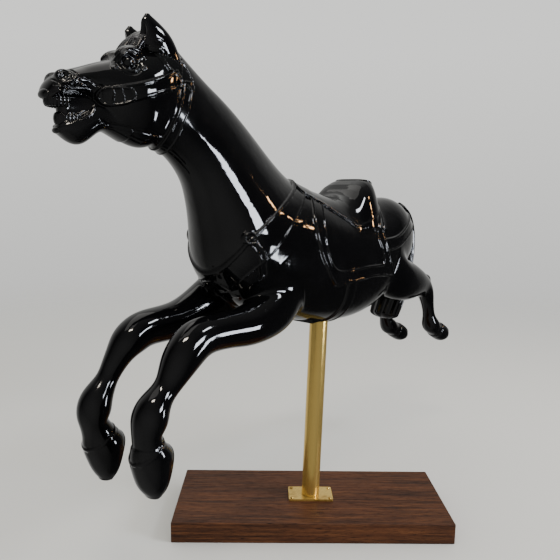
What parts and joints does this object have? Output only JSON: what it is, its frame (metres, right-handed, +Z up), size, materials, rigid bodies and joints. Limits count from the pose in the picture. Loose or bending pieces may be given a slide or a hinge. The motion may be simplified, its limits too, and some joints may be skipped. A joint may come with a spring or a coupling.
{
  "type": "carousel horse on a stand",
  "caption": "Leaping carousel horse with carved saddle, bridle and breast collar, on an upright pole with a foot plate and a flat plank base.",
  "frame": {"origin": "on the underside of the plank, under the foot of the pole", "axes": "+X the way the horse faces, +Y the horse's left, +Z up; the plank's long side lies at 130 degrees to +X"},
  "size_m": [1.1237, 0.5786, 0.9253],
  "materials": {
    "lacquer": "carved wood under mirror-gloss black lacquer",
    "brass": "polished brass with light tarnish near the plate",
    "screw": "darkened screw heads",
    "plank": "stained and waxed open-grained plank"
  },
  "bodies": {
    "root": {"horse": "lacquer", "pole": "brass", "foot_plate": "brass", "plate_screw_1": "screw", "plate_screw_2": "screw", "plate_screw_3": "screw", "plate_screw_4": "screw", "plank": "plank"}
  },
  "joints": []
}
